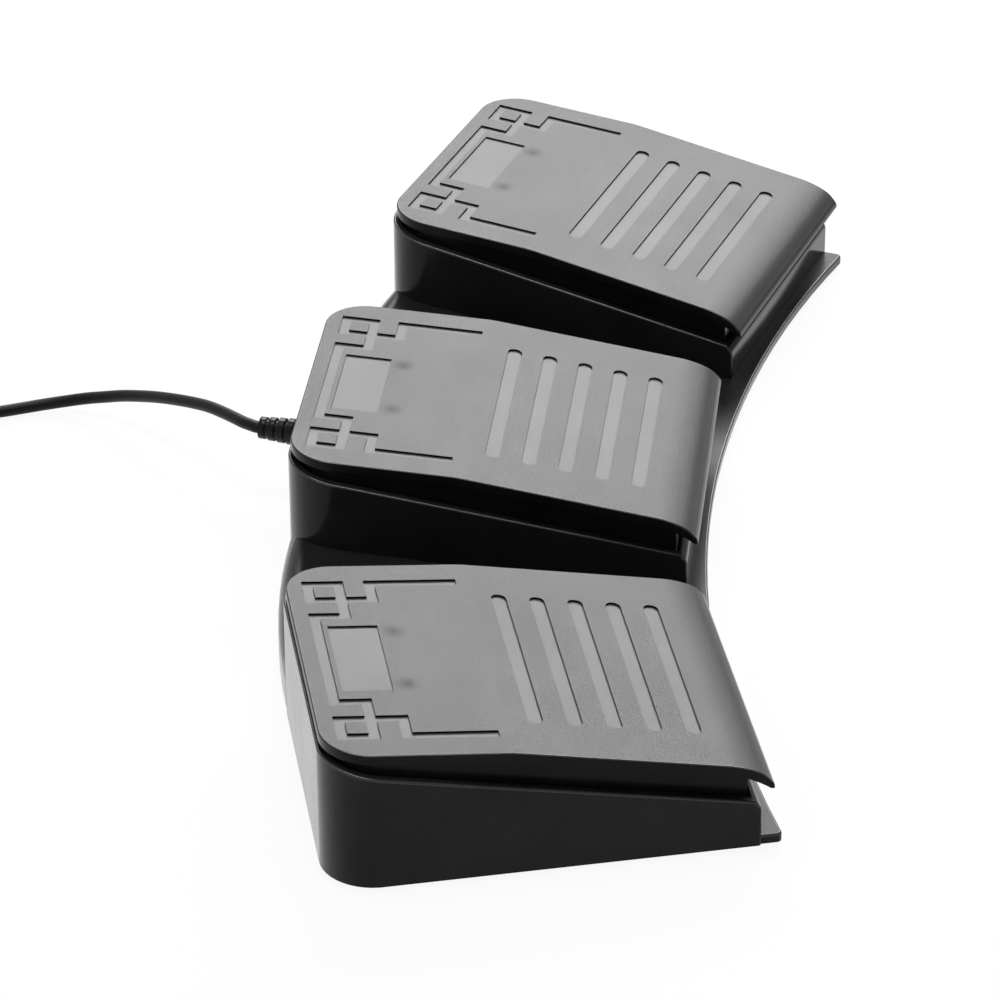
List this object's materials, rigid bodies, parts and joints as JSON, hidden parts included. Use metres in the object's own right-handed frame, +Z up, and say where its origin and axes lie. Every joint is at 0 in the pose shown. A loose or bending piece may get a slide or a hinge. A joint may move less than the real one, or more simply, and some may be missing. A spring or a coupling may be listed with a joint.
{
  "type": "foot pedal switch",
  "caption": "Low fan-shaped foot switch with sprung rocking pedals side by side on one housing, and a USB lead.",
  "frame": {"origin": "on the floor under the middle of the housing's box, lead left out", "axes": "+Z up, +X to the user's right along the fan, +Y to the rear where the lead leaves"},
  "size_m": [0.3304, 0.2617, 0.0336],
  "materials": {
    "housing": "gloss moulded black ABS",
    "cover": "matt moulded black ABS",
    "pedal": "satin fine-textured black ABS",
    "rubber": "matt black rubber",
    "steel": "bright zinc",
    "spring": "drawn spring wire",
    "switch": "matt black",
    "plunger": "matt red",
    "board": "green solder mask",
    "chip": "matt black epoxy",
    "header": "ivory nylon",
    "wire": "grey PVC",
    "cord": "satin black PVC",
    "tie": "matt black nylon",
    "overmould": "satin black PVC",
    "shell": "nickel-plated sheet steel",
    "tongue": "white thermoplastic",
    "contact": "gold-plated"
  },
  "bodies": {
    "base": {"base_housing": "housing", "bottom_cover": "cover", "cover_screws": "steel", "rubber_feet": "rubber", "return_spring_left": "spring", "return_spring_middle": "spring", "return_spring_right": "spring", "switch_body_left": "switch", "switch_body_middle": "switch", "switch_body_right": "switch", "switch_board_left": "board", "switch_board_middle": "board", "switch_board_right": "board", "board_screws": "steel", "main_board": "board", "controller_chip": "chip", "board_headers": "header", "lead_left": "wire", "lead_middle": "wire", "lead_right": "wire", "bump_stops": "rubber", "cable_strain_relief": "cord", "cable_inner": "cord", "usb_cable": "cord", "usb_cable_coil": "cord", "usb_cable_end": "cord", "cable_tie": "tie", "plug_overmould": "overmould", "plug_shell": "shell", "plug_tongue": "tongue", "plug_contacts": "contact"},
    "pedal_left": {"pedal_left": "pedal", "hinge_pins_left": "steel"},
    "plunger_left": {"switch_plunger_left": "plunger"},
    "pedal_middle": {"pedal_middle": "pedal", "hinge_pins_middle": "steel"},
    "plunger_middle": {"switch_plunger_middle": "plunger"},
    "pedal_right": {"pedal_right": "pedal", "hinge_pins_right": "steel"},
    "plunger_right": {"switch_plunger_right": "plunger"}
  },
  "joints": [
    {"name": "pedal_left_press", "type": "hinge", "parent": "base", "child": "pedal_left", "pos_m": [-0.12532, 0.03585, 0.0265], "axis": [0.9659, 0.2588, 0], "range_deg": [0, 3.4], "stiffness_Nm_per_rad": 6, "springref_deg": -2.86, "deforming": ["return_spring_left"]},
    {"name": "pedal_middle_press", "type": "hinge", "parent": "base", "child": "pedal_middle", "pos_m": [0, 0.05235, 0.0265], "axis": [1, 0, 0], "range_deg": [0, 3.4], "stiffness_Nm_per_rad": 6, "springref_deg": -2.86, "deforming": ["return_spring_middle"]},
    {"name": "pedal_right_press", "type": "hinge", "parent": "base", "child": "pedal_right", "pos_m": [0.12532, 0.03585, 0.0265], "axis": [0.9659, -0.2588, 0], "range_deg": [0, 3.4], "stiffness_Nm_per_rad": 6, "springref_deg": -2.86, "deforming": ["return_spring_right"]},
    {"name": "plunger_left_slide", "type": "slide", "parent": "base", "child": "plunger_left", "axis": [0, 0, -1], "range_m": [0, 0.0012]},
    {"name": "plunger_middle_slide", "type": "slide", "parent": "base", "child": "plunger_middle", "axis": [0, 0, -1], "range_m": [0, 0.0012]},
    {"name": "plunger_right_slide", "type": "slide", "parent": "base", "child": "plunger_right", "axis": [0, 0, -1], "range_m": [0, 0.0012]}
  ],
  "couplings": [
    {"joint": "plunger_left_slide", "follows": "pedal_left_press", "m_per_rad": 0.016},
    {"joint": "plunger_middle_slide", "follows": "pedal_middle_press", "m_per_rad": 0.016},
    {"joint": "plunger_right_slide", "follows": "pedal_right_press", "m_per_rad": 0.016}
  ]
}
